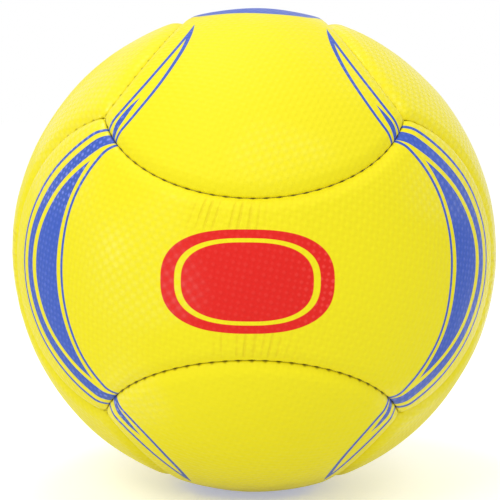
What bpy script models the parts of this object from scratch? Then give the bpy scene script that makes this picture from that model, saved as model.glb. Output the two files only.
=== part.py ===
"""A stitched beach soccer ball. Metres, +Z up, the ball's centre at the origin, the printed front facing -Y.

Six equal cover panels shaped like dog bones meet along twelve curved seams and at eight corners.
A panel is a coated skin with a turned-in edge, a foam layer and a woven lining. A thread lies in each seam.
A bladder fills the cover. Its valve comes out through the middle of the right panel, and its core pulls out.
"""

from math import acos, atan2, cos, hypot, pi, sin, sqrt

import bmesh
import bpy
from mathutils import Matrix, Vector

# Driving dimensions
BALL_DIAMETER = 0.2196  # 690 mm round
PANEL_WAIST_WIDTH = 0.0664  # across a panel at its narrowest, over the surface
SKIN_THICKNESS = 0.0013
EDGE_ROLL = 0.0030  # radius of a skin's turned-in edge
FOAM_THICKNESS = 0.0024
LINING_THICKNESS = 0.0008
LAYER_GAP = 0.0004
LAYER_INSET = 0.0015  # from where a skin starts to turn in to the edge of the layers behind it
THREAD_DIAMETER = 0.0008
THREAD_GAP = 0.0003
THREAD_END_GAP = 0.0040  # from a thread's end to the corner of the panels
BLADDER_WALL = 0.0010
BLADDER_GAP = 0.0004
VALVE_NECK_DIAMETER = 0.0110
VALVE_RECESS = 0.0010  # from the ball's surface to the neck's face
VALVE_LENGTH = 0.0190
VALVE_FLANGE_DIAMETER = 0.0300
VALVE_FLANGE_EDGE = 0.0009
VALVE_FLANGE_SLOPE = 0.0012  # what the flange gains in thickness towards the stem
VALVE_OUTLET_DIAMETER = 0.0030
CORE_HEAD_DIAMETER = 0.0064
CORE_HEAD_HEIGHT = 0.0016
CORE_SHANK_DIAMETER = 0.0046
CORE_LENGTH = 0.0150
NEEDLE_HOLE_DIAMETER = 0.0010
NEEDLE_FUNNEL_DIAMETER = 0.0024
NEEDLE_FUNNEL_DEPTH = 0.0018
VALVE_GAP = 0.0003

# Facets
LONG_CELLS = 14  # along a panel
WAIST_CELLS = 7  # across a panel, half as many as along it, so that neighbours' rims share their points
ROLL_STEPS = 2
BLADDER_CELLS = 15
TURN_STEPS = 28
FACET_ANGLE = pi / 2 / LONG_CELLS  # from a layer facet's middle to its furthest corner, at the ball's centre

# The stack of layers, from the outside in
BALL_RADIUS = BALL_DIAMETER / 2
FOAM_RADIUS = BALL_RADIUS - SKIN_THICKNESS - LAYER_GAP
LINING_RADIUS = FOAM_RADIUS - FOAM_THICKNESS - LAYER_GAP
COVER_INNER_RADIUS = LINING_RADIUS - LINING_THICKNESS
BLADDER_RADIUS = COVER_INNER_RADIUS * cos(FACET_ANGLE) - BLADDER_GAP
BLADDER_INNER_RADIUS = BLADDER_RADIUS - BLADDER_WALL
THREAD_RADIUS = BALL_RADIUS - EDGE_ROLL

# How far a panel's edge stays from the seam, and its flat part from the edge, as angles at the ball's centre
SEAM_ANGLE = (THREAD_DIAMETER / 2 + THREAD_GAP) / THREAD_RADIUS
ROLL_ANGLE = EDGE_ROLL / BALL_RADIUS
LAYER_ANGLE = LAYER_INSET / BALL_RADIUS

# A seam is an arc of a circle through two corners of the cover and the waist of the panel it cuts into.
# ACROSS and OUT are the parts of the circle's axis along that panel's waist and normal.
CORNER = 1 / sqrt(3)
WAIST_ANGLE = PANEL_WAIST_WIDTH / BALL_DIAMETER
ACROSS = (cos(WAIST_ANGLE) - CORNER) / hypot(cos(WAIST_ANGLE) - CORNER, CORNER - sin(WAIST_ANGLE))
OUT = sqrt(1 - ACROSS**2)
SEAM_CIRCLE = acos(CORNER * (ACROSS + OUT))

# Each panel's long axis, waist axis and outward normal
PANELS = {
    "front": ((1, 0, 0), (0, 0, 1), (0, -1, 0)),
    "back": ((-1, 0, 0), (0, 0, 1), (0, 1, 0)),
    "top": ((0, 1, 0), (-1, 0, 0), (0, 0, 1)),
    "bottom": ((0, 1, 0), (1, 0, 0), (0, 0, -1)),
    "left": ((0, 0, 1), (0, 1, 0), (-1, 0, 0)),
    "right": ((0, 0, 1), (0, -1, 0), (1, 0, 0)),
}
VALVE_PANEL = "right"

# Colour, roughness
YELLOW_COVER = ((0.90, 0.78, 0.02), 0.45)
FOAM_WHITE = ((0.80, 0.79, 0.74), 0.90)
LINING_GREY = ((0.62, 0.60, 0.54), 0.95)
THREAD_YELLOW = ((0.55, 0.46, 0.03), 0.75)
BLADDER_BLACK = ((0.02, 0.02, 0.02), 0.60)
VALVE_BLACK = ((0.03, 0.03, 0.03), 0.50)
CORE_GREY = ((0.12, 0.12, 0.12), 0.45)


def collection(name):
    made = bpy.data.collections.new(name)
    bpy.context.scene.collection.children.link(made)
    return made


def empty(name, parent=None, location=(0, 0, 0), rotation=(0, 0, 0)):
    made = bpy.data.objects.new(name, None)
    made.empty_display_size = 0.02
    made.parent, made.location, made.rotation_euler = parent, location, rotation
    PARTS.objects.link(made)
    return made


def material(name, look):
    made = bpy.data.materials.new(name)
    made.use_nodes = True
    shader = made.node_tree.nodes["Principled BSDF"]
    shader.inputs["Base Color"].default_value = (*look[0], 1)
    shader.inputs["Roughness"].default_value = look[1]
    shader.inputs["Metallic"].default_value = 0
    made.diffuse_color = (*look[0], 1)
    return made


def piece(name, data, look, parent, rotation=(0, 0, 0)):
    """An object made from a mesh or a curve, with its own material."""
    made = bpy.data.objects.new(name, data)
    PARTS.objects.link(made)
    made.parent, made.rotation_euler = parent, rotation
    if not data.materials:
        data.materials.append(None)
    made.material_slots[0].link = "OBJECT"
    made.material_slots[0].material = material(name, look)
    return made


def edge_corner(inset):
    """Where a panel's side and end meet, both moved in by an angle: a unit vector (long, waist, normal)."""
    side, end = cos(SEAM_CIRCLE + inset), cos(SEAM_CIRCLE - inset)
    a = 1 + (OUT / ACROSS) ** 2 + (ACROSS / OUT) ** 2
    b = side * OUT / ACROSS**2 + end * ACROSS / OUT**2
    c = (side / ACROSS) ** 2 + (end / OUT) ** 2 - 1
    root = sqrt(b * b - a * c)
    normal = min(((b - root) / a, (b + root) / a), key=lambda z: abs(z - CORNER))
    return Vector(((end - ACROSS * normal) / OUT, (side - OUT * normal) / ACROSS, normal))


def edge_point(s, t, inset):
    """A point on a panel's outline moved in by an angle. s runs along the panel and t across it, -1 to 1."""
    at = edge_corner(inset)
    if abs(t) == 1:
        circle = SEAM_CIRCLE + inset
        turn = s * atan2(at.x, at.z * ACROSS - at.y * OUT)
        up, flat = cos(circle), sin(circle) * cos(turn)
        return Vector((sin(circle) * sin(turn), t * (up * ACROSS - flat * OUT), up * OUT + flat * ACROSS))
    circle = SEAM_CIRCLE - inset
    turn = t * atan2(at.y, at.x * ACROSS - at.z * OUT)
    up, flat = cos(circle), sin(circle) * cos(turn)
    return Vector((s * (up * OUT + flat * ACROSS), sin(circle) * sin(turn), up * ACROSS - flat * OUT))


def panel_point(s, t, inset):
    """A point of a panel on the unit sphere. Lines of equal s are arcs from side to side."""
    side, end = edge_point(s, 1, inset), edge_point(1, 0, inset)
    reach = s * atan2(end.x, end.z)
    middle = Vector((sin(reach), 0, cos(reach)))
    axis = Vector((side.z - middle.z, 0, middle.x - side.x)).normalized()
    centre = axis * axis.dot(middle)
    spoke = middle - centre
    turn = t * atan2(side.y, (side - centre).dot(spoke.normalized()))
    return centre + spoke * cos(turn) + Vector((0, spoke.length * sin(turn), 0))


def panel_sheet(name, radius, inset, rims=()):
    """An open sheet over one panel. Each rim is the inset and the radius of one more row around the sheet."""
    bm = bmesh.new()
    row = bm.verts.layers.int.new("row")
    bmesh.ops.create_grid(bm, x_segments=LONG_CELLS, y_segments=WAIST_CELLS, size=1)
    rim = [e for e in bm.edges if e.is_boundary]
    if rims:
        ends = [e for e in rim if abs(e.verts[0].co.x - e.verts[1].co.x) < 0.5 / LONG_CELLS]
        bmesh.ops.subdivide_edges(bm, edges=ends, cuts=1)
        rim = [e for e in bm.edges if e.is_boundary]
    for number in range(1, len(rims) + 1):
        made = bmesh.ops.extrude_edge_only(bm, edges=rim)["geom"]
        for new in made:
            if isinstance(new, bmesh.types.BMVert):
                new[row] = number
        rim = [e for e in made if isinstance(e, bmesh.types.BMEdge) and e.is_boundary]
    for vert in bm.verts:
        s = round(vert.co.x * LONG_CELLS) / LONG_CELLS
        t = round(vert.co.y * 2 * WAIST_CELLS) / (2 * WAIST_CELLS)
        if vert[row]:
            rim_inset, rim_radius = rims[vert[row] - 1]
            vert.co = edge_point(s, t, rim_inset) * rim_radius
        else:
            vert.co = panel_point(s, t, inset) * radius
    bmesh.ops.recalc_face_normals(bm, faces=bm.faces)
    middle = min(bm.faces, key=lambda face: face.calc_center_median().xy.length)
    if middle.normal.z < 0:
        bmesh.ops.reverse_faces(bm, faces=bm.faces)
    mesh = bpy.data.meshes.new(name)
    bm.to_mesh(mesh)
    bm.free()
    mesh.shade_smooth()
    return mesh


def skin_rims():
    """The rows of a skin's rolled edge, and of the flange that turns in along the seam."""
    rims = []
    for step in range(1, ROLL_STEPS + 1):
        turn = pi / 2 * step / ROLL_STEPS
        rims.append((SEAM_ANGLE + ROLL_ANGLE * (1 - sin(turn)), BALL_RADIUS - EDGE_ROLL * (1 - cos(turn))))
    return rims + [(SEAM_ANGLE, COVER_INNER_RADIUS)]


def add_layer(layer, sheet, thickness, look):
    """One object of a layer for each panel, with the valve's hole in the panel that carries it.

    Facets are split along their short diagonals, so that those of neighbouring layers lie parallel.
    """
    for panel, axes in PANELS.items():
        made = piece(f"{panel}_{layer}", sheet, look, BALL, Matrix(axes).transposed().to_euler())
        wall = made.modifiers.new("Thickness", "SOLIDIFY")
        wall.thickness = thickness
        wall.offset = -1
        wall.use_even_offset = True
        facets = made.modifiers.new("Short diagonals", "TRIANGULATE")
        facets.quad_method = "SHORTEST_DIAGONAL"
        if panel == VALVE_PANEL:
            hole = made.modifiers.new("Valve hole", "BOOLEAN")
            hole.object = VALVE_CUTTER


def add_seam_threads():
    """A thread along both sides of each panel's waist, which takes in all twelve seams."""
    points = [edge_point(2 * i / LONG_CELLS - 1, 1, 0) * THREAD_RADIUS for i in range(LONG_CELLS + 1)]
    share = THREAD_END_GAP / (points[1] - points[0]).length
    points[0] = points[0].lerp(points[1], share)
    points[-1] = points[-1].lerp(points[-2], share)
    curve = bpy.data.curves.new("seam_thread", "CURVE")
    curve.dimensions = "3D"
    curve.bevel_depth = THREAD_DIAMETER / 2
    curve.bevel_resolution = 1
    curve.use_fill_caps = True
    spline = curve.splines.new("POLY")
    spline.points.add(len(points) - 1)
    for place, point in zip(spline.points, points):
        place.co = (*point, 1)
    neighbour = {axes[2]: name for name, axes in PANELS.items()}
    for panel, (along, waist, normal) in PANELS.items():
        for sign in (1, -1):
            beyond = tuple(sign * part for part in waist)
            turned_axes = (tuple(sign * part for part in along), beyond, normal)
            rotation = Matrix(turned_axes).transposed().to_euler()
            piece(f"seam_{panel}_{neighbour[beyond]}", curve, THREAD_YELLOW, BALL, rotation)


def add_turned(name, profile, look, parent, closed=True, rotation=(0, 0, 0)):
    """A piece turned around its own Z axis from (radius, height) points."""
    mesh = bpy.data.meshes.new(name)
    edges = [(i, i + 1) for i in range(len(profile) - 1)]
    if closed:
        edges.append((len(profile) - 1, 0))
    mesh.from_pydata([(r, 0, z) for r, z in profile], edges, [])
    made = piece(name, mesh, look, parent, rotation)
    turn = made.modifiers.new("Turn", "SCREW")
    turn.steps = turn.render_steps = TURN_STEPS
    turn.use_merge_vertices = True
    turn.merge_threshold = 0.00001
    turn.use_smooth_shade = True


def on_sphere(radius, angle):
    """The (radius, height) point of a sphere's profile at an angle from its top."""
    return radius * sin(angle), radius * cos(angle)


def bladder_angles():
    """Angles of the bladder's profile: the hole's edge, the flange's edge, and even steps to the far pole."""
    hole = (VALVE_NECK_DIAMETER / 2 + VALVE_GAP) / BLADDER_RADIUS
    flange = VALVE_FLANGE_DIAMETER / 2 / BLADDER_RADIUS
    return [hole] + [flange + (pi - flange) * i / BLADDER_CELLS for i in range(BLADDER_CELLS + 1)]


def add_bladder():
    angles = bladder_angles()
    inside = [on_sphere(BLADDER_INNER_RADIUS, angle) for angle in reversed(angles[:-1])]
    outside = [on_sphere(BLADDER_RADIUS, angle) for angle in angles[:-1]]
    profile = [(0, -BLADDER_INNER_RADIUS)] + inside + outside + [(0, -BLADDER_RADIUS)]
    add_turned("bladder", profile, BLADDER_BLACK, BALL, closed=False, rotation=(0, pi / 2, 0))


def add_valve():
    """The body, whose flange lies inside the bladder, and the core. Heights are from the neck's face."""
    neck, flange = VALVE_NECK_DIAMETER / 2, VALVE_FLANGE_DIAMETER / 2
    face = BALL_RADIUS - VALVE_RECESS
    hole_angle, flange_angle = bladder_angles()[:2]
    root = BLADDER_INNER_RADIUS * cos(hole_angle) - 2 * VALVE_GAP - face
    tip = BLADDER_INNER_RADIUS * cos(flange_angle) - 2 * VALVE_GAP - face
    head, shank = CORE_HEAD_DIAMETER / 2, CORE_SHANK_DIAMETER / 2
    seat = -CORE_LENGTH - VALVE_GAP
    add_turned(
        "valve_body",
        [
            (head + VALVE_GAP, 0),
            (neck, 0),
            (neck, root),
            (flange, tip),
            (flange, tip - VALVE_FLANGE_EDGE),
            (neck, root - VALVE_FLANGE_EDGE - VALVE_FLANGE_SLOPE),
            (neck, -VALVE_LENGTH),
            (VALVE_OUTLET_DIAMETER / 2, -VALVE_LENGTH),
            (VALVE_OUTLET_DIAMETER / 2, seat),
            (shank + VALVE_GAP, seat),
            (shank + VALVE_GAP, -CORE_HEAD_HEIGHT - VALVE_GAP),
            (head + VALVE_GAP, -CORE_HEAD_HEIGHT - VALVE_GAP),
        ],
        VALVE_BLACK,
        VALVE_AXIS,
    )
    add_turned(
        "valve_core",
        [
            (NEEDLE_FUNNEL_DIAMETER / 2, 0),
            (head, 0),
            (head, -CORE_HEAD_HEIGHT),
            (shank, -CORE_HEAD_HEIGHT),
            (shank, -CORE_LENGTH),
            (NEEDLE_HOLE_DIAMETER / 2, -CORE_LENGTH),
            (NEEDLE_HOLE_DIAMETER / 2, -NEEDLE_FUNNEL_DEPTH),
        ],
        CORE_GREY,
        VALVE_AXIS,
    )


def valve_cutter():
    """A cylinder along the valve's axis, through every layer of the panel."""
    bpy.ops.mesh.primitive_cylinder_add(
        vertices=TURN_STEPS,
        radius=VALVE_NECK_DIAMETER / 2 + VALVE_GAP,
        depth=2 * (BALL_RADIUS - BLADDER_RADIUS + VALVE_RECESS),
        location=(BALL_RADIUS, 0, 0),
        rotation=(0, pi / 2, 0),
    )
    made = bpy.context.object
    made.name = "valve_hole_cutter"
    made.hide_render = True
    made.display_type = "WIRE"
    for holder in list(made.users_collection):
        holder.objects.unlink(made)
    CUTTERS.objects.link(made)
    return made


for old in list(bpy.data.objects):
    bpy.data.objects.remove(old)
PARTS = collection("beach_soccer_ball")
CUTTERS = collection("cutters")
BALL = empty("ball")
VALVE_AXIS = empty("valve_axis", BALL, (BALL_RADIUS - VALVE_RECESS, 0, 0), (0, pi / 2, 0))
VALVE_CUTTER = valve_cutter()

SKIN_INSET = SEAM_ANGLE + ROLL_ANGLE
SKIN = panel_sheet("panel_skin", BALL_RADIUS, SKIN_INSET, skin_rims())
FOAM = panel_sheet("panel_foam", FOAM_RADIUS, SKIN_INSET + LAYER_ANGLE)
LINING = panel_sheet("panel_lining", LINING_RADIUS, SKIN_INSET + LAYER_ANGLE)
add_layer("panel", SKIN, SKIN_THICKNESS, YELLOW_COVER)
add_layer("foam", FOAM, FOAM_THICKNESS, FOAM_WHITE)
add_layer("lining", LINING, LINING_THICKNESS, LINING_GREY)
add_seam_threads()
add_bladder()
add_valve()
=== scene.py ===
# %% [markdown]
# # A stitched beach soccer ball
# The real ball is six equal coated panels, sewn edge to edge over a bladder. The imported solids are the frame:
# one body for the ball, one for the valve core. Each solid that shows is dressed here with a finer piece on
# the same body, in metres, with the ball's centre at the origin and the printed front facing -Y.

from math import acos, atan2, cos, hypot, pi, radians, sin, sqrt

import bmesh
import bpy
from mathutils import Euler, Matrix, Vector


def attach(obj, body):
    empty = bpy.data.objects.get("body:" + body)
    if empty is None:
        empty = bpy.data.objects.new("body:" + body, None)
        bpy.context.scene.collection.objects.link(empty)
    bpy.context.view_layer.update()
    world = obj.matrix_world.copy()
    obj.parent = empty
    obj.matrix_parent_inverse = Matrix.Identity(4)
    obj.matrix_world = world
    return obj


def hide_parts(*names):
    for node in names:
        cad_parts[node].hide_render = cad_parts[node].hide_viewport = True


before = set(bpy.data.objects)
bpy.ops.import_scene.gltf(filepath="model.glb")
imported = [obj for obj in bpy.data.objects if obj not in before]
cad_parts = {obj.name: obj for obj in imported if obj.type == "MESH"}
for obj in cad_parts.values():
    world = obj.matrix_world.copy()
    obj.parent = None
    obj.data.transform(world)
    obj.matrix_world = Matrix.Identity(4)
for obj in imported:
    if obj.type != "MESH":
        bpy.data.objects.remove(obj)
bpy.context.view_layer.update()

# %% [markdown]
# ## Maths on sockets
# A rule such as "how far is this point from the seam" becomes dozens of Math nodes, which are hard to read
# as a list of links. So one small class holds a socket, and Python's own operators on it add the nodes. It
# serves the shapes, in Geometry Nodes, and the finishes, in shaders, because both kinds of tree share these
# nodes.

# %% One class for sockets
class Wire:
    """A socket in a node tree. Arithmetic on values adds Math nodes, and add() gives any other node."""

    def __init__(self, tree, socket=None):
        self.tree = tree
        self.socket = socket

    def plug(self, node, sockets):
        for key, value in sockets.items():
            if isinstance(value, Wire):
                self.tree.links.new(value.socket, node.inputs[key])
            else:
                node.inputs[key].default_value = value

    def add(self, kind, settings=None, sockets=None, output=0):
        """A new node with its settings and the values or links of its sockets. Gives one of its outputs."""
        node = self.tree.nodes.new(kind)
        for name, value in (settings or {}).items():
            setattr(node, name, value)
        self.plug(node, sockets or {})
        return Wire(self.tree, node.outputs[output] if node.outputs else None)

    def math(self, operation, *values):
        return self.add("ShaderNodeMath", {"operation": operation}, dict(enumerate(values)))

    def vector(self, operation, *values, output=0):
        return self.add("ShaderNodeVectorMath", {"operation": operation}, dict(enumerate(values)), output)

    def scaled(self, vector, amount):
        return self.add("ShaderNodeVectorMath", {"operation": "SCALE"}, {0: vector, 3: amount})

    def parts(self):
        """The x, y and z of a vector."""
        split = self.add("ShaderNodeSeparateXYZ", sockets={0: self})
        return [Wire(self.tree, socket) for socket in split.socket.node.outputs]

    def point(self, x, y, z):
        return self.add("ShaderNodeCombineXYZ", sockets={0: x, 1: y, 2: z})

    def step(self, low, high):
        """0 below low, 1 above high, smooth between them."""
        smooth = {"interpolation_type": "SMOOTHSTEP"}
        return self.add("ShaderNodeMapRange", smooth, {0: self, 1: low, 2: high})

    def blend(self, mask, first, second):
        """A colour that goes from the first to the second with the mask."""
        return self.add("ShaderNodeMix", {"data_type": "RGBA"}, {0: mask, 6: first, 7: second}, 2)

    def noise(self, place, scale, detail=2.0):
        """A value around 0, from about -0.5 to 0.5."""
        return self.add("ShaderNodeTexNoise", None, {"Vector": place, "Scale": scale, "Detail": detail}) - 0.5

    def __add__(self, other):
        return self.math("ADD", self, other)

    def __sub__(self, other):
        return self.math("SUBTRACT", self, other)

    def __rsub__(self, other):
        return self.math("SUBTRACT", other, self)

    def __mul__(self, other):
        return self.math("MULTIPLY", self, other)

    def __truediv__(self, other):
        return self.math("DIVIDE", self, other)

    def __pow__(self, other):
        return self.math("POWER", self, other)

    def __abs__(self):
        return self.math("ABSOLUTE", self)

    def __lt__(self, other):
        return self.math("LESS_THAN", self, other)

    def __gt__(self, other):
        return self.math("GREATER_THAN", self, other)

    def sin(self):
        return self.math("SINE", self)

    def cos(self):
        return self.math("COSINE", self)

    def acos(self):
        return self.math("ARCCOSINE", self)

    def asin(self):
        return self.math("ARCSINE", self)

    def root(self):
        return self.math("SQRT", self)

    def exp(self):
        return self.math("EXPONENT", self)

    def turn(self, base):
        """The angle of a point that is this far up and that far along."""
        return self.math("ARCTAN2", self, base)

    def most(self, other):
        return self.math("MAXIMUM", self, other)

    def least(self, other):
        return self.math("MINIMUM", self, other)

    __radd__ = __add__
    __rmul__ = __mul__


# %% Named inputs and plain meshes
def named_inputs(tree, kinds):
    """Gives a Geometry Nodes tree its named inputs and its output, and the inputs as wires."""
    for name, kind in kinds.items():
        tree.interface.new_socket(name, in_out="INPUT", socket_type="NodeSocket" + kind)
    tree.interface.new_socket("Geometry", in_out="OUTPUT", socket_type="NodeSocketGeometry")
    group = tree.nodes.new("NodeGroupInput")
    return {socket.name: Wire(tree, socket) for socket in group.outputs if socket.name}


def grow(name, tree, mesh, values):
    """A new object of a mesh, with a tree on it whose inputs are set by their identifiers."""
    piece = bpy.data.objects.new(name, mesh)
    bpy.context.scene.collection.objects.link(piece)
    rule = piece.modifiers.new("Rule", "NODES")
    rule.node_group = tree
    for item in tree.interface.items_tree:
        if item.in_out == "INPUT" and item.name in values:
            rule[item.identifier] = values[item.name]
    return piece


def make_plain(piece, finish):
    """Applies every modifier of a piece, so that a plain mesh is left, with one finish on all its faces."""
    depsgraph = bpy.context.evaluated_depsgraph_get()
    mesh = bpy.data.meshes.new_from_object(piece.evaluated_get(depsgraph), depsgraph=depsgraph)
    before = piece.data
    piece.modifiers.clear()
    piece.data = mesh
    mesh.name = piece.name
    mesh.materials.clear()
    mesh.materials.append(finish)
    mesh.polygons.foreach_set("material_index", [0] * len(mesh.polygons))
    bpy.data.meshes.remove(before)
    return piece


# %% [markdown]
# ## The seams' rule
# Eight corners of the cover lie on a cube's diagonals. Each seam is an arc of a circle through two corners
# and the waist of the panel it cuts into, so one number, the width of that waist, fixes the whole pattern.
# The numbers repeat those of the solids. They are worked out once in Python and again in the panel's tree.

# %% Sizes of the cover
BALL_RADIUS = 0.1098
WAIST_WIDTH = 0.0664
CORNER = 1 / sqrt(3)

WAIST_ANGLE = WAIST_WIDTH / (2 * BALL_RADIUS)
ACROSS = (cos(WAIST_ANGLE) - CORNER) / hypot(cos(WAIST_ANGLE) - CORNER, CORNER - sin(WAIST_ANGLE))
OUT = sqrt(1 - ACROSS**2)
SEAM_CIRCLE = acos(CORNER * (ACROSS + OUT))
SEAM_LENGTH = 2 * atan2(1, ACROSS - OUT) * sin(SEAM_CIRCLE) * BALL_RADIUS

# Each panel's long axis, waist axis and outward normal
PANELS = {
    "front": ((1, 0, 0), (0, 0, 1), (0, -1, 0)),
    "back": ((-1, 0, 0), (0, 0, 1), (0, 1, 0)),
    "top": ((0, 1, 0), (-1, 0, 0), (0, 0, 1)),
    "bottom": ((0, 1, 0), (1, 0, 0), (0, 0, -1)),
    "left": ((0, 0, 1), (0, 1, 0), (-1, 0, 0)),
    "right": ((0, 0, 1), (0, -1, 0), (1, 0, 0)),
}
print(f"a seam is {SEAM_LENGTH * 1000:.1f} mm long")

# %% [markdown]
# ## A panel's shape
# A panel is a dog bone of coated fabric on foam, pulled tight over the bladder. It could be sculpted, or cut
# from a sphere, but all six follow one rule, so one Geometry Nodes tree makes them. A flat grid of s and t
# is bent onto the sphere: each line of constant s is the arc that runs from one long edge to the other.

# %% From the grid to the sphere
def seam_rule(waist):
    """The seam circle's axis, as its parts across and out, and its angular radius, for a waist angle."""
    rise = waist.cos() - CORNER
    run = CORNER - waist.sin()
    reach = (rise * rise + run * run).root()
    across, out = rise / reach, run / reach
    return across, out, ((across + out) * CORNER).acos()


def panel_direction(s, t, across, out, circle):
    """The direction of a panel's point: s runs from end to end and t from side to side, both from -1 to 1."""
    along = s * across.math("ARCTAN2", 1, across - out)
    up, flat = circle.cos(), circle.sin()
    side_x = flat * along.sin()
    side_y = up * across - flat * along.cos() * out
    side_z = up * out + flat * along.cos() * across
    reach = s * (up * out + flat * across).turn(up * across - flat * out)
    middle_x, middle_z = reach.sin(), reach.cos()
    lean_x, lean_z = side_z - middle_z, middle_x - side_x
    length = (lean_x * lean_x + lean_z * lean_z).root()
    drop = (lean_x * middle_x + lean_z * middle_z) / length
    hub_x, hub_z = lean_x / length * drop, lean_z / length * drop
    spoke_x, spoke_z = middle_x - hub_x, middle_z - hub_z
    spoke = (spoke_x * spoke_x + spoke_z * spoke_z).root()
    swing = t * side_y.turn(((side_x - hub_x) * spoke_x + (side_z - hub_z) * spoke_z) / spoke)
    return hub_x + spoke_x * swing.cos(), spoke * swing.sin(), hub_z + spoke_z * swing.cos()


# %% [markdown]
# The relief of a panel depends on how far a point is from its seams and on where it is along them. Edges turn
# down into the seam, each stitch pulls their lips down a little more, and the short waist gathers in soft
# folds that run away from the seam. Distances along a circle on a sphere are plain angles, so this needs no
# ray casting.

# %% Where a point is from its seams
def seam_places(x, y, z, across, out, circle, radius):
    """Distances to the side and end seams, and places along them, in metres."""
    side = (abs(y) * across + z * out).least(1).acos() - circle
    end = circle - (abs(x) * out + z * across).least(1).acos()
    beyond = abs(x) * across > z * out
    along = x.turn(z * across - abs(y) * out)
    along_end = y.turn(abs(x) * across - z * out)
    ring = circle.sin() * radius
    return side.most(0) * radius, end.most(0) * radius + (1 - beyond), along * ring, along_end * ring


# %% Relief of a panel
# How far the effects of an edge reach, in metres, the scale of the slow lumps, and the dip around the valve
EDGE_BLEND = 0.003
CROWN_REACH = 0.011
STITCH_REACH = 0.0016
LUMP_REACH = 0.014
LUMP_SCALE = 2.6
VALVE_DIP_RADIUS = 0.0085

# Share of the lip's depth between two stitches
LIP_SHARE = 0.3

# Grain of the folds along the seam and away from it, per metre, and the distances between which they rise
# at the seam, fade away from it and fade along it
FOLD_GRAIN = (160, 20)
FOLD_START = (0.0005, 0.004)
FOLD_END = (0.009, 0.024)
FOLD_SPREAD = (0.014, 0.040)
UPPER_SEED = 7


def panel_relief(size, x, y, z, side, end, along, along_end):
    """How far a panel's point stands from the ball's centre."""
    root = x
    edge = side.math("SMOOTH_MIN", side, end, EDGE_BLEND).most(0)
    near = side < end
    run = along * near + along_end * (1 - near)
    roll = size["Edge Depth"] * (1 - edge / size["Edge Width"]).most(0) ** 2
    sewn = ((run / size["Stitch Pitch"] * (2 * pi)).cos() * 0.5 + 0.5) ** 2
    dip = LIP_SHARE + sewn * (1 - LIP_SHARE)
    lip = size["Lip Depth"] * dip * (1 - edge / size["Lip Width"]).most(0) ** 2
    crown = size["Crown"] * (edge / -CROWN_REACH).exp()
    stitch = size["Stitch Dip"] * sewn * (edge / -STITCH_REACH).exp()
    strands = root.point(along * FOLD_GRAIN[0], side * FOLD_GRAIN[1], size["Seed"] + (y > 0) * UPPER_SEED)
    waist = side.step(*FOLD_START) * (1 - side.step(*FOLD_END)) * (1 - abs(along).step(*FOLD_SPREAD))
    fold = size["Fold Depth"] * root.noise(strands, 1.0, 1.0) * waist
    place = root.point(x + size["Seed"], y, z)
    lump = size["Lump Height"] * root.noise(place, LUMP_SCALE, 1.0) * (1 - (edge / -LUMP_REACH).exp())
    ring = z.least(1).acos() * size["Ball Radius"] / VALVE_DIP_RADIUS
    valve = size["Valve Dip"] * (0 - ring * ring).exp()
    return size["Ball Radius"] - roll - lip - crown - stitch + fold + lump - valve


# %% The panel's tree
PANEL_INPUTS = {
    "Geometry": "Geometry",
    "Ball Radius": "Float",
    "Waist Angle": "Float",
    "Seam Gap": "Float",
    "Edge Width": "Float",
    "Edge Depth": "Float",
    "Lip Width": "Float",
    "Lip Depth": "Float",
    "Crown": "Float",
    "Stitch Pitch": "Float",
    "Stitch Dip": "Float",
    "Fold Depth": "Float",
    "Lump Height": "Float",
    "Valve Dip": "Float",
    "Seed": "Float",
    "Cells Along": "Int",
    "Cells Across": "Int",
    "Long Axis": "Vector",
    "Waist Axis": "Vector",
    "Out Axis": "Vector",
    "Cover": "Material",
}
GRID_CROWDING = 0.3
GAP_REACH = 0.002


def panel_tree():
    tree = bpy.data.node_groups.new("ball_panel", "GeometryNodeTree")
    size = named_inputs(tree, PANEL_INPUTS)
    root = Wire(tree)
    cells = {"Vertices X": size["Cells Along"] + 1, "Vertices Y": size["Cells Across"] + 1}
    grid = root.add("GeometryNodeMeshGrid", None, {"Size X": 2.0, "Size Y": 2.0, **cells})
    s, t, _ = root.add("GeometryNodeInputPosition").parts()

    # Lines of the grid crowd towards the panel's edges.
    s, t = (place * (1 + GRID_CROWDING - place * place * GRID_CROWDING) for place in (s, t))
    across, out, circle = seam_rule(size["Waist Angle"])
    x, y, z = panel_direction(s, t, across, out, circle)
    places = seam_places(x, y, z, across, out, circle, size["Ball Radius"])
    height = panel_relief(size, x, y, z, *places)

    # Edges draw back from the seam by half the gap.
    ray = root.point(x, y, z)
    pole_side = root.point(0.0, across * y.math("SIGN", y), out)
    pole_end = root.point(out * x.math("SIGN", x), 0.0, across)
    back = size["Seam Gap"] / 2 / size["Ball Radius"] / circle.sin()
    push_side = root.scaled(pole_side, 0 - back * (places[0] / -GAP_REACH).exp())
    push_end = root.scaled(pole_end, back * (places[1] / -GAP_REACH).exp())
    ray = ray.vector("NORMALIZE", ray.vector("ADD", ray, ray.vector("ADD", push_side, push_end)))

    # From the panel's own axes to the ball's
    axes = [size["Long Axis"], size["Waist Axis"], size["Out Axis"]]
    shares = [root.scaled(axis, amount * height) for axis, amount in zip(axes, ray.parts())]
    spot = root.vector("ADD", shares[0], root.vector("ADD", shares[1], shares[2]))
    shell = root.add("GeometryNodeSetPosition", None, {"Geometry": grid, "Position": spot})
    shell = root.add("GeometryNodeSetShadeSmooth", None, {"Geometry": shell})
    shell = root.add("GeometryNodeRealizeInstances", None, {"Geometry": shell})
    shell = root.add("GeometryNodeSetMaterial", None, {"Geometry": shell, "Material": size["Cover"]})
    root.add("NodeGroupOutput", None, {0: shell})
    return tree


panel_rule = panel_tree()
print("the panel's tree has", len(panel_rule.nodes), "nodes")

# %% [markdown]
# ## The coated cover
# The cover is a semi-matte coated fabric, embossed with small domes. An image could hold the emboss and the
# print, but shader maths on Object coordinates needs no picture and stays sharp. A panel's place is read as a
# direction from the ball's centre, in the panel's own long, waist and outward parts.

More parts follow.
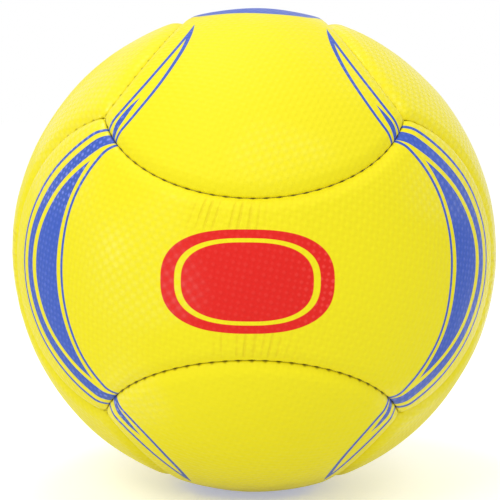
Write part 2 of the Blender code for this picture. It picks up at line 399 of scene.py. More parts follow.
# %% Start of a finish
def new_finish(name, **constants):
    """A material, a wire to add nodes to it, and its shader with the constant sockets set."""
    material = bpy.data.materials.new(name)
    material.use_nodes = True
    shader = material.node_tree.nodes["Principled BSDF"]
    for socket, value in constants.items():
        shader.inputs[socket.replace("_", " ")].default_value = value
    return material, Wire(material.node_tree), shader


def object_place(root):
    return root.add("ShaderNodeTexCoord", output=3)


# %% [markdown]
# The print is blue bands that bow along both ends of a panel. Seen from the ball's centre, an edge of a band
# is a curve of azimuth against latitude, and an even polynomial with three numbers follows each one. A mask
# is the share inside one edge and outside the next. The print sits about 2.5 mm off the panel's middle, is
# turned by a third of a degree, and leans a little more at its right end.

# %% Edges of the print
INK_SOFTNESS = 0.00012
PRINT_TURN = radians(1.35)
PRINT_TILT = radians(0.35)
RIGHT_LEAN = 0.022

# Azimuth of an edge at the panel's middle line, in degrees, and how it changes with the latitude's second
# and fourth power
BAND_EDGES = {
    "outer line": (63.94, -0.846, -1.095),
    "stripe outside": (61.60, -0.983, -0.900),
    "stripe inside": (58.98, -1.164, -1.046),
    "blade outside": (57.20, -1.127, -1.495),
    "blade inside": (48.50, -0.468, -0.500),
    "inner line": (46.76, -0.375, -1.235),
}


def inked(reach):
    return reach.step(-INK_SOFTNESS, INK_SOFTNESS)


def line(reach, width):
    return inked(width / 2 - abs(reach))


def band_reach(azimuth, latitude, edge):
    """How far, in metres over the ball, a point lies inside an edge, towards the panel's middle."""
    middle, second, fourth = BAND_EDGES[edge]
    square = latitude * latitude
    bow = radians(middle) + square * (second + square * fourth)
    slope = latitude * (2 * second + square * (4 * fourth)) * latitude.cos()
    return (bow - azimuth) * latitude.cos() * BALL_RADIUS / (1 + slope * slope).root()


# %% Bands on the front and back panels
OUTER_LINE = 0.0017
INNER_LINE = 0.0015


def band_print(along, across, out):
    """1 on the blades, stripes and thin lines at both ends of a panel."""
    level = along * cos(PRINT_TILT) + across * sin(PRINT_TILT)
    latitude = (across * cos(PRINT_TILT) - along * sin(PRINT_TILT)).asin()
    azimuth = abs(level.turn(out) - PRINT_TURN) - latitude * (along > 0) * RIGHT_LEAN
    reach = {edge: band_reach(azimuth, latitude, edge) for edge in BAND_EDGES}
    blade = inked(reach["blade outside"]) * (1 - inked(reach["blade inside"]))
    stripe = inked(reach["stripe outside"]) * (1 - inked(reach["stripe inside"]))
    lines = line(reach["outer line"], OUTER_LINE).most(line(reach["inner line"], INNER_LINE))
    return blade.most(stripe).most(lines)


# %% [markdown]
# On the top and bottom panels the bands run on in tails, one from each corner. Their edges are close to
# circles on the ball, so a plane that cuts the direction gives each one. A tail is the sliver inside one
# circle and outside another, drawn as an outline that closes in a solid tip. The short spike at its root is
# what two more circles share.

# %% Tails on the top and bottom panels
TAIL_LINE = 0.0016
TAIL_SWELL = 0.0022
TAIL_ROOT = 0.6

# Axis and angular radius of each edge's circle, in the panel's long, waist and outward parts
TAIL_CIRCLES = {
    "top": (((0.096, 0.749, 0.656), 34.5), ((0.239, 0.720, 0.651), 31.1)),
    "bottom": (((0.023, 0.758, 0.651), 38.0), ((0.247, 0.712, 0.657), 30.1)),
}
SPIKE_CIRCLES = (((0.872, 0.250, 0.421), 20.90), ((-0.038, 0.837, 0.546), 46.73))


def circle_reach(spot, circle):
    """How far, in metres over the ball, a direction lies inside a circle."""
    axis, angle = Vector(circle[0]).normalized(), radians(circle[1])
    return (spot.vector("DOT_PRODUCT", spot, axis, output=1) - cos(angle)) * (BALL_RADIUS / sin(angle))


def tail_print(along, across, out, panel):
    """1 on the outlines of the four tails and on their spikes."""
    turn = PRINT_TURN if panel == "bottom" else -PRINT_TURN
    shifted = across * cos(turn) - out * sin(turn)
    spot = along.point(abs(along), abs(shifted), out * cos(turn) + across * sin(turn))
    outer, inner = (circle_reach(spot, circle) for circle in TAIL_CIRCLES[panel])
    solid = inked(0 - outer) * inked(inner)
    swell = (TAIL_ROOT - abs(along)) * TAIL_SWELL
    hollow = inked(0 - outer - TAIL_LINE) * inked(inner - TAIL_LINE - swell)
    above, below = (inked(circle_reach(spot, circle)) for circle in SPIKE_CIRCLES)
    return (solid - hollow).most(above * below)


# %% [markdown]
# The middle of a printed panel has one plain oval: red with a bare ring in it on the front and the back, and
# blue on the top and the bottom. A power a little above 2 makes an ellipse squarer.

# %% Plain ovals
OVAL_POWER = 2.6
RED_HALVES = (0.0345, 0.0205)
RED_SHIFT = 0.002
RING_INSET = 0.0042
RING_WIDTH = 0.0016
BLUE_HALVES = (0.031, 0.0272)
BLUE_SHIFT = 0.0012


def oval(run, rise, half_width, half_height):
    """How far, in metres, a point lies inside a rounded oval."""
    bulge = (abs(run / half_width) ** OVAL_POWER + abs(rise / half_height) ** OVAL_POWER) ** (1 / OVAL_POWER)
    return (1 - bulge) * half_height


def red_print(run, rise):
    reach = oval(run + RED_SHIFT, rise, *RED_HALVES)
    return inked(reach) * (1 - line(reach - RING_INSET, RING_WIDTH))


def blue_print(panel, along, across, out, run, rise):
    if panel in ("front", "back"):
        return band_print(along, across, out)
    middle = inked(oval(rise + BLUE_SHIFT, run, *BLUE_HALVES))
    return tail_print(along, across, out, panel).most(middle)


# %% [markdown]
# The cover's emboss is a square lattice of domes, 2.5 mm apart, every other one taller, and each panel is cut
# from the sheet at its own slant. Sine waves along and across the lattice give both, and feed a Bump node.

# %% Emboss
EMBOSS_CELL = 0.0025
EMBOSS_WANDER = 0.6
DOME_HEIGHT = 0.4
EMBOSS_SLANT = {"front": -11, "back": -14, "top": -22, "bottom": -16, "left": -9, "right": -18}
# Painted shade: how much each panel's colour darkens in the hollows between the domes
EMBOSS_SHADE = {"front": 0.5, "back": 0.4, "top": 0.22, "bottom": 0.22, "left": 0.3, "right": 0.3}


def emboss(run, rise, slant, wander):
    """Heights of all domes, from about -0.4 to 0.8, and of the tall ones alone, from -1 to 1."""
    wave = pi / EMBOSS_CELL
    u = (run * cos(slant) + rise * sin(slant)) * wave + wander * EMBOSS_WANDER
    v = (rise * cos(slant) - run * sin(slant)) * wave - wander * EMBOSS_WANDER
    tall = u.sin() * v.sin()
    domes = ((u * 2).cos() + (v * 2).cos()) * -0.5
    return tall * DOME_HEIGHT + domes * DOME_HEIGHT, tall


# %% [markdown]
# Where a panel is narrow, the cover gathers in thin creases that cross both edges of its waist and lean a
# little. They are finer than the mesh, so they are bump, with painted shade in the colour. Along the thread
# the edges of the panels get a thin line of painted shade, darkest at the stitch holes, and some panels get
# more than others.

# %% Creases
# Distances in metres. The width is a share of the pitch, and the lean is a shift along the seam per metre.
CREASE_PITCH = 0.0030
CREASE_WIDTH = 0.16
CREASE_WANDER = 1.2
CREASE_LEAN = 0.12
CREASE_SHIFT = 0.009
CREASE_SPREAD = (0.008, 0.018)
CREASE_START = (0.001, 0.004)
CREASE_END = (0.009, 0.019)

# Grain of the noise along the seam and away from it, per metre
WANDER_GRAIN = (90, 10)
STRENGTH_GRAIN = (170, 24)
STRENGTH_EDGE = (-0.3, 0.1)
STRENGTH_SEED = 40


def crease_lines(along, across, out, side, seed):
    """1 on thin lines that cross the edges of the waist, fading out along the seam and away from it."""
    upper = across > 0
    arc = along.turn(out * ACROSS - abs(across) * OUT) * (sin(SEAM_CIRCLE) * BALL_RADIUS)
    place = arc + side * (upper * 2 - 1) * CREASE_LEAN
    wave = along.noise(along.point(place * WANDER_GRAIN[0], side * WANDER_GRAIN[1], seed), 1.0, 1.0)
    spot = along.point(place * STRENGTH_GRAIN[0], side * STRENGTH_GRAIN[1], seed + STRENGTH_SEED)
    strength = along.noise(spot, 1.0, 0.0).step(*STRENGTH_EDGE)
    strand = place.math("PINGPONG", place / CREASE_PITCH + wave * CREASE_WANDER, 0.5) / CREASE_WIDTH
    spread = 1 - abs(place + upper * CREASE_SHIFT).step(*CREASE_SPREAD)
    reach = side.step(*CREASE_START) * (1 - side.step(*CREASE_END))
    return (strand * strand * -1).exp() * strength * spread * reach


# %% Painted shade along the seams
STITCH_PITCH = 0.00545
STITCH_POWER = 2.2
# How far the painted seam shade reaches from the edge at a stitch, per panel
STITCH_SHADE_REACH = {
    "front": 0.0004,
    "back": 0.0006,
    "top": 0.0005,
    "bottom": 0.0010,
    "left": 0.0008,
    "right": 0.0005,
}
SEAM_SHADE_LINE = 0.0001
SEAM_SHADE_WANDER = 0.0002
SEAM_SHADE_LEAST = 0.15
SEAM_SHADE_GAIN = 0.75


def seam_distances(along, across, out):
    """Distances to the side and end seams, in metres."""
    side = ((abs(across) * ACROSS + out * OUT).least(1).acos() - SEAM_CIRCLE) * BALL_RADIUS
    end = (SEAM_CIRCLE - (abs(along) * OUT + out * ACROSS).least(1).acos()) * BALL_RADIUS
    return side, end + (1 - (abs(along) * ACROSS > out * OUT))


def painted_seam_shade(along, across, out, side, end, wander, reach):
    """A painted shade line along the seams' groove, which widens and darkens where a stitch goes in."""
    ring = sin(SEAM_CIRCLE) * BALL_RADIUS / STITCH_PITCH * 2 * pi
    near = side < end
    place = along.turn(out * ACROSS - abs(across) * OUT)
    place_end = across.turn(abs(along) * ACROSS - out * OUT)
    stitch = (((place * near + place_end * (1 - near)) * ring).cos() * 0.5 + 0.5) ** STITCH_POWER
    edge = side.least(end) - wander * SEAM_SHADE_WANDER
    return (1 - edge.step(0.0, SEAM_SHADE_LINE + stitch * reach)) * (SEAM_SHADE_LEAST + stitch * SEAM_SHADE_GAIN)


# %% [markdown]
# All of this meets in one finish per panel. A thin clear coat lies over the cover in slow patches, most on
# the tall domes. The ink on the tops of the domes is painted paler, partly as thin ink and partly as painted
# glints: the blue's most in those patches on the ball's left half, and the red's most at its right end.

# %% Colours of the cover
COVER_YELLOW = (0.90, 0.80, 0.001, 1)
# The deeper yellow is random tone, and painted shade in the creases and between the domes
TONE_AND_SHADE_YELLOW = (0.84, 0.70, 0.001, 1)
INK_BLUE = (0.022, 0.085, 0.47, 1)
# Paler ink for the dome tops: partly thin ink, partly painted glints
THIN_INK_AND_GLINT_BLUE = (0.13, 0.20, 0.74, 1)
INK_RED = (0.76, 0.008, 0.003, 1)
THIN_INK_AND_GLINT_RED = (0.95, 0.075, 0.06, 1)
# Painted shade in the seams' groove and at the stitch holes
SEAM_SHADE_BROWN = (0.19, 0.115, 0.004, 1)

# %% Cover finish
COVER_GLOSS = {
    "Specular_IOR_Level": 0.30,
    "Coat_Roughness": 0.25,
    "Sheen_Weight": 0.15,
    "Sheen_Roughness": 0.3,
}
EMBOSS_DEPTH = 0.00016

# Scales of the noises, per metre
WANDER_SCALE = 260.0
DRIFT_SCALE = 9.0
FINE_SCALE = 2400.0
PATCH_SCALE = 14.0
PATCH_OFFSET = (299.33, 0, 0)
PATCH_EDGE = (0.0, 0.14)

# Where the blue's paler dome tops, partly thin ink and partly painted glints, end and the red's begin, as
# shares of the ball's radius towards +X
BLUE_WEAR_AND_GLINT_END = (0.0, 0.5)
RED_WEAR_AND_GLINT_START = (0.1, 0.34)


def cover_finish(name, axes, panel, seed):
    material, root, shader = new_finish(name, **COVER_GLOSS)
    place = object_place(root)
    ray = place.vector("NORMALIZE", place)
    along, across, out = (ray.vector("DOT_PRODUCT", ray, axis, output=1) for axis in axes)
    run, rise = along.turn(out) * BALL_RADIUS, across.asin() * BALL_RADIUS
    wander = root.noise(place, WANDER_SCALE, 1.0)
    drift = root.noise(place, DRIFT_SCALE, 2.0)
    fine = root.noise(place, FINE_SCALE, 2.0)
    patches = root.noise(root.vector("ADD", place, PATCH_OFFSET), PATCH_SCALE, 1.0).step(*PATCH_EDGE)
    domes, tall = emboss(run, rise, radians(EMBOSS_SLANT[panel]), wander)
    side, end = seam_distances(along, across, out)
    crease = crease_lines(along, across, out, side, seed)

    # Random tone, with painted shade in the hollows between the domes and in the creases
    tone_and_shade = (0.22 - domes * EMBOSS_SHADE[panel] + drift * 0.5 + crease * 0.9).step(0, 1)
    colour = root.blend(tone_and_shade, COVER_YELLOW, TONE_AND_SHADE_YELLOW)
    if panel not in ("left", "right"):
        # Dome tops painted paler: partly thin ink, partly painted glints, strongest in the patches
        top = (domes * 2 - tall * 0.6 + wander * 0.8).step(0.0, 0.8)
        right = ray.vector("DOT_PRODUCT", ray, (1, 0, 0), output=1)
        wear_and_glint = patches * (1 - right.step(*BLUE_WEAR_AND_GLINT_END))
        ink = root.blend(top * (0.3 + wear_and_glint * 0.7) + (1 - wear_and_glint) * 0.15, INK_BLUE, THIN_INK_AND_GLINT_BLUE)
        colour = root.blend(blue_print(panel, along, across, out, run, rise), colour, ink)
    if panel in ("front", "back"):
        ink = root.blend(top * (0.16 + right.step(*RED_WEAR_AND_GLINT_START) * 0.5), INK_RED, THIN_INK_AND_GLINT_RED)
        colour = root.blend(red_print(run, rise), colour, ink)
    # Painted shade in the seams' groove, darkest at the stitch holes
    groove_shade = painted_seam_shade(along, across, out, side, end, wander, STITCH_SHADE_REACH[panel])
    colour = root.blend(groove_shade, colour, SEAM_SHADE_BROWN)

    height = domes + fine * 0.08 - crease * 1.2
    bump = root.add("ShaderNodeBump", None, {"Strength": 1.0, "Distance": EMBOSS_DEPTH, "Height": height})
    rough = 0.60 + drift * 0.10 + fine * 0.10
    coat = (tall * 0.5 + 0.5) * patches * 0.8
    root.plug(shader, {"Base Color": colour, "Roughness": rough, "Coat Weight": coat, "Normal": bump})
    return material


# %% [markdown]
# ## Six panels
# Each panel is the tree's result with its own axes, seed and finish. Solidify then gives the cover its
# thickness inwards, so that the piece is a closed shell. The right panel gets the hole for the valve as a
# Boolean cut, because a round hole doesn't follow the grid.

# %% Make the panels
COVER_RISE = 0.0003
PANEL_SIZES = {
    "Ball Radius": BALL_RADIUS + COVER_RISE,
    "Waist Angle": WAIST_ANGLE,
    "Seam Gap": 0.00006,
    "Edge Width": 0.0065,
    "Edge Depth": 0.0022,
    "Lip Width": 0.0007,
    "Lip Depth": 0.0010,
    "Crown": 0.0003,
    "Stitch Pitch": STITCH_PITCH,
    "Stitch Dip": 0.0002,
    "Fold Depth": 0.0008,
    "Lump Height": 0.0014,
    "Cells Along": 250,
    "Cells Across": 180,
}
SKIN_THICKNESS = 0.0008
VALVE_PANEL = "right"
VALVE_DIP = 0.0006
VALVE_HOLE_RADIUS = 0.0058
CUTTER_LENGTH = 0.02
FIRST_SEED = 11
SEED_STEP = 5


def valve_hole_cutter():
    """A rod along +X, through the cover."""
    spot = Matrix.Translation((BALL_RADIUS, 0, 0)) @ Matrix.Rotation(pi / 2, 4, "Y")
    shape = bmesh.new()
    bmesh.ops.create_cone(shape, cap_ends=True, segments=96, radius1=VALVE_HOLE_RADIUS,
                          radius2=VALVE_HOLE_RADIUS, depth=CUTTER_LENGTH, matrix=spot)
    mesh = bpy.data.meshes.new("valve_hole_cutter")
    shape.to_mesh(mesh)
    shape.free()
    cutter = bpy.data.objects.new("valve_hole_cutter", mesh)
    bpy.context.scene.collection.objects.link(cutter)
    return cutter


def make_panel(panel, seed):
    axes = PANELS[panel]
    values = dict(PANEL_SIZES)
    values["Seed"] = float(seed)
    values["Valve Dip"] = VALVE_DIP if panel == VALVE_PANEL else 0.0
    values["Long Axis"], values["Waist Axis"], values["Out Axis"] = (tuple(map(float, axis)) for axis in axes)
    values["Cover"] = cover_finish(panel + "_cover", axes, panel, seed)
    piece = grow(panel + "_cover", panel_rule, bpy.data.meshes.new("start"), values)
    wall = piece.modifiers.new("Wall", "SOLIDIFY")
    wall.thickness = SKIN_THICKNESS
    wall.offset = -1
    if panel == VALVE_PANEL:
        cutter = valve_hole_cutter()
        hole = piece.modifiers.new("Valve hole", "BOOLEAN")
        hole.object = cutter
        hole.solver = "MANIFOLD"
    make_plain(piece, values["Cover"])
    if panel == VALVE_PANEL:
        bpy.data.meshes.remove(cutter.data)
    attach(piece, "ball")
    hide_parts(panel + "_panel")
    return piece


covers = {panel: make_panel(panel, FIRST_SEED + SEED_STEP * place) for place, panel in enumerate(PANELS)}
for panel, piece in covers.items():
    print(panel, len(piece.data.polygons), "faces")

# %% [markdown]
# ## Stitches
# The seams are sewn with a thread that crosses from panel to panel about every 5.5 mm and shows only as short
# arches down in the groove. Stitches repeat along a path, so a Geometry Nodes tree places one small arch at
# each point of the seams' lines, turned so that it lies nearly along the seam.

# %% The stitch's tree
STITCH_INPUTS = {
    "Geometry": "Geometry",
    "Stitches": "Int",
    "Half Length": "Float",
    "Rise": "Float",
    "Thread Radius": "Float",
    "Slant": "Float",
    "Thread": "Material",
}
ARCH_HANDLE = 0.7
ARCH_STEPS = 6
THREAD_SIDES = 6


def stitch_tree():
    tree = bpy.data.node_groups.new("seam_stitches", "GeometryNodeTree")
    size = named_inputs(tree, STITCH_INPUTS)
    root = Wire(tree)
    lines = root.add("GeometryNodeMeshToCurve", None, {0: size["Geometry"]})
    spots = {"Curve": lines, "Count": size["Stitches"]}
    points = root.add("GeometryNodeResampleCurve", {"mode": "COUNT"}, spots)

    # One arch of thread
    half, rise = size["Half Length"], size["Rise"]
    bend = {
        "Resolution": ARCH_STEPS,
        "Start": root.point(0 - half, 0.0, 0 - rise),
        "Start Handle": root.point(half * -ARCH_HANDLE, 0.0, rise),
        "End Handle": root.point(half * ARCH_HANDLE, 0.0, rise),
        "End": root.point(half, 0.0, 0 - rise),
    }
    arch = root.add("GeometryNodeCurvePrimitiveBezierSegment", None, bend)
    round_thread = {"Resolution": THREAD_SIDES, "Radius": size["Thread Radius"]}
    ring = root.add("GeometryNodeCurvePrimitiveCircle", None, round_thread)
    one = root.add("GeometryNodeCurveToMesh", None, {"Curve": arch, "Profile Curve": ring, "Fill Caps": True})

    # The slant turns an arch from straight across the seam towards its line.
    up = root.add("GeometryNodeInputPosition")
    up = up.vector("NORMALIZE", up)
    ahead = root.add("GeometryNodeInputTangent")
    aside = up.vector("CROSS_PRODUCT", up, ahead)
    slant = size["Slant"]
    lean = root.vector("ADD", root.scaled(aside, slant.cos()), root.scaled(ahead, slant.sin()))
    turn = root.add("FunctionNodeAlignRotationToVector", {"axis": "X"}, {"Vector": lean})
    turn = root.add("FunctionNodeAlignRotationToVector", {"axis": "Z", "pivot_axis": "X"},
                    {"Rotation": turn, "Vector": up})
    sewn = {"Points": points, "Instance": one, "Rotation": turn}
    stitches = root.add("GeometryNodeInstanceOnPoints", None, sewn)
    stitches = root.add("GeometryNodeRealizeInstances", None, {"Geometry": stitches})
    stitches = root.add("GeometryNodeSetShadeSmooth", None, {"Geometry": stitches})
    stitches = root.add("GeometryNodeSetMaterial", None, {"Geometry": stitches, "Material": size["Thread"]})
    root.add("NodeGroupOutput", None, {0: stitches})
    return tree


# %% Thread finish
THREAD_DARK = (0.07, 0.045, 0.003, 1)
THREAD_PALE = (0.20, 0.135, 0.01, 1)
TWIST_SCALE = 3000.0
TWIST_DEPTH = 0.00005


def thread_finish():
    material, root, shader = new_finish("stitch_thread", Specular_IOR_Level=0.15)
    place = object_place(root)
    twist = root.noise(place, TWIST_SCALE, 2.0)
    colour = root.blend((twist + 0.5).step(0.2, 0.8), THREAD_DARK, THREAD_PALE)
    bump = root.add("ShaderNodeBump", None, {"Strength": 0.6, "Distance": TWIST_DEPTH, "Height": twist})
    root.plug(shader, {"Base Color": colour, "Roughness": 0.7 + twist * 0.2, "Normal": bump})
    return material


# %% Lines of the seams
STITCHES = 31
STITCH_SIZES = {
    "Stitches": STITCHES,
    "Half Length": 0.0025,
    "Rise": 0.0006,
    "Thread Radius": 0.00038,
    "Slant": radians(75),
}
STITCH_SINK = 0.0003
GROOVE_DEPTH = PANEL_SIZES["Edge Depth"] + PANEL_SIZES["Lip Depth"] + PANEL_SIZES["Crown"]
HALF_STEPS = 70


def seam_line(axes, side):
    """Points along one long edge of a panel, from the first stitch to the last."""
    long_axis, waist_axis, out_axis = map(Vector, axes)
    radius = PANEL_SIZES["Ball Radius"] - GROOVE_DEPTH - PANEL_SIZES["Stitch Dip"] - STITCH_SINK
    points = []
    for step in range(2 * HALF_STEPS + 1):
        place = (step / HALF_STEPS - 1) * (STITCHES - 1) / 2 * STITCH_PITCH
        turn = place / (sin(SEAM_CIRCLE) * BALL_RADIUS)
        up, flat = cos(SEAM_CIRCLE), sin(SEAM_CIRCLE) * cos(turn)
        spot = long_axis * (sin(SEAM_CIRCLE) * sin(turn))
        spot += waist_axis * side * (up * ACROSS - flat * OUT) + out_axis * (up * OUT + flat * ACROSS)
        points.append(spot * radius)
    return points


def make_stitches():
    points, edges = [], []
    for axes in PANELS.values():
        for side in (-1, 1):
            start = len(points)
            points += seam_line(axes, side)
            edges += [(i, i + 1) for i in range(start, len(points) - 1)]
    mesh = bpy.data.meshes.new("start")
    mesh.from_pydata(points, edges, [])
    values = {**STITCH_SIZES, "Thread": thread_finish()}
    piece = make_plain(grow("seam_stitches", stitch_tree(), mesh, values), values["Thread"])
    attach(piece, "ball")
    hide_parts(*[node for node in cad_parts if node.startswith("seam_")])
    return piece


stitches = make_stitches()
print("the stitches have", len(stitches.data.polygons), "faces")

# %% [markdown]
# ## The valve
# A moulded rubber valve comes through the middle of the right panel. Its body is held by a flange inside the
# bladder, and a soft core with the hole for a pump needle sits in it and can be drawn out. Both are turned
# shapes, so each is one profile spun around the valve's axis, with a Bevel to round the moulded edges.

# %% Rubber finish
CLOUD_SCALE = 320.0
PORE_SCALE = 1500.0


def rubber_finish(name, dark, pale, rough, pit):
    material, root, shader = new_finish(name, Specular_IOR_Level=0.45)
    place = object_place(root)
    cloud = root.noise(place, CLOUD_SCALE, 3.0)
    pores = root.noise(place, PORE_SCALE, 2.0)
    colour = root.blend((cloud + 0.5).step(0.25, 0.8), dark, pale)
    bump = root.add("ShaderNodeBump", None, {"Strength": 0.5, "Distance": pit, "Height": pores})
    root.plug(shader, {"Base Color": colour, "Roughness": rough + cloud * 0.2, "Normal": bump})
    return material


# %% Turned pieces
VALVE_FACE = 0.1088
SPIN_STEPS = 64


def turned_piece(name, profile, finish, round_edge):
    """A ring turned around +X from (radius, height) points in millimetres, heights from the valve's face."""
    shape = bmesh.new()
    corners = [shape.verts.new((VALVE_FACE + height / 1000, 0, radius / 1000)) for radius, height in profile]
    edges = [shape.edges.new((corners[i - 1], corners[i])) for i in range(len(corners))]
    bmesh.ops.spin(shape, geom=corners + edges, cent=(0, 0, 0), axis=(1, 0, 0), angle=2 * pi,
                   steps=SPIN_STEPS, use_merge=True)
    bmesh.ops.remove_doubles(shape, verts=shape.verts, dist=0.000001)
    shape.normal_update()
    bmesh.ops.recalc_face_normals(shape, faces=shape.faces)
    mesh = bpy.data.meshes.new(name)
    shape.to_mesh(mesh)
    shape.free()
    for face in mesh.polygons:
        face.use_smooth = True
    piece = bpy.data.objects.new(name, mesh)
    bpy.context.scene.collection.objects.link(piece)
    bevel = piece.modifiers.new("Moulded edges", "BEVEL")
    bevel.width = round_edge
    bevel.segments = 3
    bevel.limit_method = "ANGLE"
    bevel.angle_limit = radians(40)
    return make_plain(piece, finish)


# %% Make the valve
BODY_PROFILE = [(3.5, 0), (5.5, 0), (5.5, -7.12), (15, -8.03), (15, -8.93), (5.5, -9.22), (5.5, -19)]
BODY_PROFILE += [(1.5, -19), (1.5, -15.3), (2.6, -15.3), (2.6, -1.9), (3.5, -1.9)]
CORE_PROFILE = [(1.2, 0), (3.2, 0), (3.2, -1.6), (2.3, -1.6), (2.3, -15), (0.5, -15), (0.5, -1.8)]
NECK_GREYS = ((0.018, 0.018, 0.019, 1), (0.045, 0.044, 0.043, 1))
PLUG_GREYS = ((0.07, 0.07, 0.07, 1), (0.15, 0.15, 0.145, 1))
body_rubber = rubber_finish("neck_rubber", *NECK_GREYS, rough=0.5, pit=0.00003)
core_rubber = rubber_finish("plug_rubber", *PLUG_GREYS, rough=0.45, pit=0.00002)
valve_body = turned_piece("valve_neck", BODY_PROFILE, body_rubber, 0.0003)
valve_core = turned_piece("valve_plug", CORE_PROFILE, core_rubber, 0.00015)
for piece, body, node, slot in (
    (valve_body, "ball", "valve_body", "valve_rubber"),
    (valve_core, "valve_core", "valve_core", "valve_core_rubber"),
):
    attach(piece, body)
    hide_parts(node)
    print(piece.name, len(piece.data.polygons), "faces")

# %% [markdown]
# ## Layers inside
# Behind each cover lie a foam layer and a woven lining, and inside them the bladder. The solids already have
# the right shape, so they stay and only get finishes: open cells for the foam, crossed threads for the
# lining, and a dusty rubber for the bladder.

# %% Foam and lining finishes
FOAM_SCALE = 900.0
FOAM_WALL = (0.62, 0.60, 0.54, 1)
FOAM_PALE = (0.83, 0.82, 0.77, 1)
WEAVE_PITCH = 0.0012
WEAVE_DARK = (0.42, 0.40, 0.36, 1)
WEAVE_PALE = (0.70, 0.68, 0.62, 1)


def foam_finish():
    material, root, shader = new_finish("foam_cells")
    place = object_place(root)
    sponge = {"Vector": place, "Scale": FOAM_SCALE}
    cells = root.add("ShaderNodeTexVoronoi", {"feature": "DISTANCE_TO_EDGE"}, sponge)
    tint = root.noise(place, 40.0, 2.0)
    colour = root.blend(cells.step(0.0, 0.12), FOAM_WALL, FOAM_PALE)
    bump = root.add("ShaderNodeBump", None, {"Strength": 0.6, "Distance": 0.0002, "Height": cells})
    root.plug(shader, {"Base Color": colour, "Roughness": 0.9 + tint * 0.1, "Normal": bump})
    return material


def lining_finish():
    material, root, shader = new_finish("lining_weave")
    place = object_place(root)
    x, y, z = place.parts()
    weave = 2 * pi / WEAVE_PITCH
    warp, weft = ((x + y) * weave).sin(), ((z + (x - y) * 0.5) * weave).sin()
    over = warp * weft
    colour = root.blend((over * 0.5 + 0.5).step(0, 1), WEAVE_DARK, WEAVE_PALE)
    bump = root.add("ShaderNodeBump", None, {"Strength": 0.7, "Distance": 0.0001, "Height": over})
    root.plug(shader, {"Base Color": colour, "Roughness": 0.92 - over * 0.04, "Normal": bump})
    return material


# %% Dress the layers
BLADDER_GREYS = ((0.015, 0.015, 0.015, 1), (0.05, 0.048, 0.046, 1))
bladder_rubber = rubber_finish("bladder_skin", *BLADDER_GREYS, rough=0.6, pit=0.00005)
layers = {"foam": foam_finish(), "lining": lining_finish(), "bladder": bladder_rubber}
for name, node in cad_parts.items():
    kind = name.split("_")[-1]
    if kind in layers:
        node.data.materials.clear()
        node.data.materials.append(layers[kind])
print("finishes on", len(layers), "kinds of layer")

# %% [markdown]
# ## Floor, light and camera
# The ball stands on a plain white floor under soft light from the upper left. To the camera the world is
# plain white, at a strength of 1, and it lights the ball at a lower level, so that colours render about as
# written. The floor glows a little to the camera, so that it shows white and still holds the ball's shadow.
# The camera has the photograph's angle and a long lens.

# %% Floor and world
FLOOR_HALF = 6
FLOOR_COLOUR = (0.90, 0.90, 0.90, 1)
FLOOR_GLOW = 0.40
WORLD_LEVEL = 0.69


def white_to_camera(root):
    """1 for rays that come from the camera, straight or through gloss and glass."""
    path = root.add("ShaderNodeLightPath").socket.node.outputs
    seen = [Wire(root.tree, path[name]) for name in ("Is Camera Ray", "Is Glossy Ray", "Is Transmission Ray")]
    return seen[0].most(seen[1]).most(seen[2])


def make_floor(height):
    corners = [(x * FLOOR_HALF, y * FLOOR_HALF, height) for x, y in ((-1, -1), (1, -1), (1, 1), (-1, 1))]
    mesh = bpy.data.meshes.new("floor")
    mesh.from_pydata(corners, [], [(0, 1, 2, 3)])
    material, root, shader = new_finish("floor_white", Roughness=0.9, Specular_IOR_Level=0.0)
    shader.inputs["Base Color"].default_value = FLOOR_COLOUR
    shader.inputs["Emission Strength"].default_value = FLOOR_GLOW
    glow = root.blend(white_to_camera(root), (0, 0, 0, 1), (1, 1, 1, 1))
    root.plug(shader, {"Emission Color": glow})
    mesh.materials.append(material)
    floor = bpy.data.objects.new("floor", mesh)
    bpy.context.scene.collection.objects.link(floor)


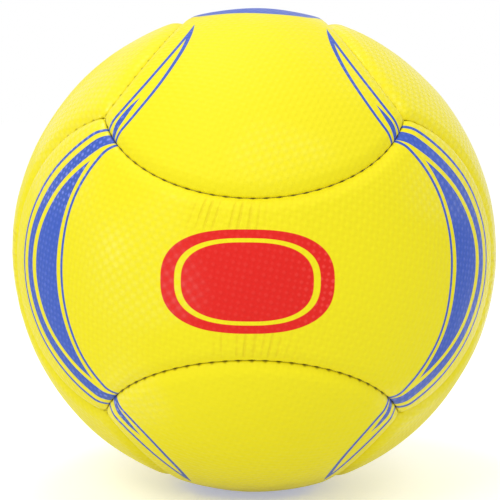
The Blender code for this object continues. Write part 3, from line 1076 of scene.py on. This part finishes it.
def make_world(level):
    world = bpy.data.worlds.new("studio")
    world.use_nodes = True
    root = Wire(world.node_tree)
    lamp = world.node_tree.nodes["Background"]
    lamp.inputs["Color"].default_value = (1, 1, 1, 1)
    lamp.inputs["Strength"].default_value = level
    white = root.add("ShaderNodeBackground", None, {"Color": (1, 1, 1, 1), "Strength": 1.0})
    light = Wire(world.node_tree, lamp.outputs[0])
    mixed = root.add("ShaderNodeMixShader", None, {0: white_to_camera(root), 1: light, 2: white})
    root.plug(world.node_tree.nodes["World Output"], {"Surface": mixed})
    bpy.context.scene.world = world


lowest = min(corner.co.z for corner in covers["bottom"].data.vertices)
make_floor(lowest)
make_world(WORLD_LEVEL)
bpy.context.scene.view_settings.view_transform = "Standard"


# %% Lamps
def add_lamp(name, spot, size, power):
    """A square soft box that faces the ball."""
    data = bpy.data.lights.new(name, "AREA")
    data.size = size
    data.energy = power
    lamp = bpy.data.objects.new(name, data)
    lamp.location = spot
    lamp.rotation_euler = (-Vector(spot)).to_track_quat("-Z", "Y").to_euler()
    bpy.context.scene.collection.objects.link(lamp)


add_lamp("key_box", (-0.45, -0.90, 0.88), 0.5, 4.4)
add_lamp("top_box", (-0.20, 0.10, 1.25), 0.3, 2.6)
add_lamp("right_box", (0.60, -0.60, 1.05), 0.35, 1.6)
add_lamp("left_box", (-1.15, -0.60, 0.10), 0.30, 0.7)

# %% Camera
CAMERA_DISTANCE = 0.6698
CAMERA_RISE = radians(6.5)
CAMERA_TURN = radians(0.40)
CAMERA_ROLL = radians(0.35)
camera_data = bpy.data.cameras.new("camera")
camera_data.sensor_width = 36
camera_data.lens = 104.5
camera_data.shift_x = -0.0087
camera_data.shift_y = 0.0006
camera = bpy.data.objects.new("camera", camera_data)
flat = CAMERA_DISTANCE * cos(CAMERA_RISE)
camera.location = (flat * sin(CAMERA_TURN), -flat * cos(CAMERA_TURN), CAMERA_DISTANCE * sin(CAMERA_RISE))
turn = Euler((pi / 2 - CAMERA_RISE, 0, CAMERA_TURN)).to_matrix() @ Matrix.Rotation(CAMERA_ROLL, 3, "Z")
camera.rotation_euler = turn.to_euler()
bpy.context.scene.collection.objects.link(camera)
bpy.context.scene.camera = camera
